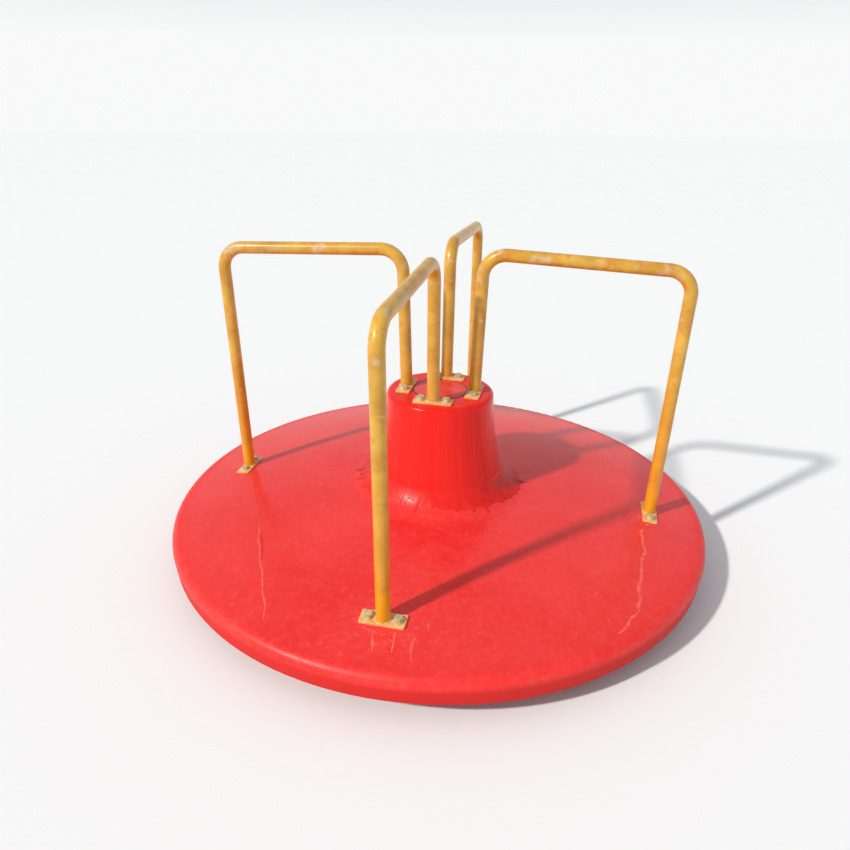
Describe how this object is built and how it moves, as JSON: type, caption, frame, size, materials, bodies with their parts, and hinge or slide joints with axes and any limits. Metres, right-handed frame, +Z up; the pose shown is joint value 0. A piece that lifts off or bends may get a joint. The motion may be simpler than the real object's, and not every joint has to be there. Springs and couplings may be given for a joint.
{
  "type": "merry go round",
  "caption": "Playground merry-go-round: a round crowned platform with a central pedestal and radial pipe handrails, turning freely on a bearing spindle bolted to the ground.",
  "frame": {"origin": "centre of the base plate's underside, on the spin axis", "axes": "+Z up along the spin axis; the handrails stand along -Y (front), +X (right), +Y (rear) and -X (left)"},
  "size_m": [1.524, 1.524, 0.8575],
  "materials": {
    "red_gelcoat": "glossy pigmented gelcoat on glass fibre, scuffed",
    "red_laminate": "brushed-on resin lap, ragged edge",
    "yellow_enamel": "worn yellow enamel over steel pipe",
    "zinc_fasteners": "dulled zinc plate",
    "base_paint": "black enamel, dusty",
    "frame_primer": "red oxide primer",
    "machined_steel": "turned, oiled",
    "bearing_steel": "ground and polished",
    "seal_rubber": "moulded nitrile",
    "brass": "turned"
  },
  "bodies": {
    "base": {"base_plate": "base_paint", "base_gussets": "base_paint", "spindle": "machined_steel", "lower_bearing_cone": "bearing_steel", "upper_bearing_cone": "bearing_steel", "thrust_washer": "machined_steel", "castle_nut": "machined_steel", "split_pin": "machined_steel"},
    "platform": {"hub_tube": "frame_primer", "hub_top_flange": "frame_primer", "hub_ribs": "frame_primer", "arm_gussets": "frame_primer", "lower_bearing_housing": "machined_steel", "upper_bearing_housing": "machined_steel", "lower_bearing_cup": "bearing_steel", "upper_bearing_cup": "bearing_steel", "grease_seal": "seal_rubber", "dust_cap": "zinc_fasteners", "grease_nipple": "brass", "rim_ring": "frame_primer", "rail_lugs": "frame_primer", "deck_shell": "red_gelcoat", "pedestal_shell": "red_gelcoat", "bond_lap": "red_laminate", "inspection_cap": "red_gelcoat", "support_arm_1": "frame_primer", "support_arm_2": "frame_primer", "support_arm_3": "frame_primer", "support_arm_4": "frame_primer", "support_arm_5": "frame_primer", "support_arm_6": "frame_primer", "support_arm_7": "frame_primer", "support_arm_8": "frame_primer", "front_rail": "yellow_enamel", "right_rail": "yellow_enamel", "rear_rail": "yellow_enamel", "left_rail": "yellow_enamel", "front_outer_foot": "yellow_enamel", "right_outer_foot": "yellow_enamel", "rear_outer_foot": "yellow_enamel", "left_outer_foot": "yellow_enamel", "front_inner_foot": "yellow_enamel", "right_inner_foot": "yellow_enamel", "rear_inner_foot": "yellow_enamel", "left_inner_foot": "yellow_enamel", "outer_foot_bolts": "zinc_fasteners", "outer_foot_washers": "zinc_fasteners", "outer_foot_nuts": "zinc_fasteners", "inner_foot_bolts": "zinc_fasteners", "inner_foot_washers": "zinc_fasteners", "inner_foot_nuts": "zinc_fasteners"},
    "lower_roller_set": {"lower_bearing_rollers": "bearing_steel", "lower_bearing_cage": "bearing_steel"},
    "upper_roller_set": {"upper_bearing_rollers": "bearing_steel", "upper_bearing_cage": "bearing_steel"}
  },
  "joints": [
    {"name": "platform_spin", "type": "hinge", "parent": "base", "child": "platform", "pos_m": [0, 0, 0.2], "axis": [0, 0, 1], "continuous": true},
    {"name": "lower_cage_spin", "type": "hinge", "parent": "base", "child": "lower_roller_set", "pos_m": [0, 0, 0.0735], "axis": [0, 0, 1], "continuous": true},
    {"name": "upper_cage_spin", "type": "hinge", "parent": "base", "child": "upper_roller_set", "pos_m": [0, 0, 0.395], "axis": [0, 0, 1], "continuous": true}
  ],
  "couplings": [
    {"joint": "lower_cage_spin", "follows": "platform_spin", "ratio": 0.5576},
    {"joint": "upper_cage_spin", "follows": "platform_spin", "ratio": 0.561}
  ]
}
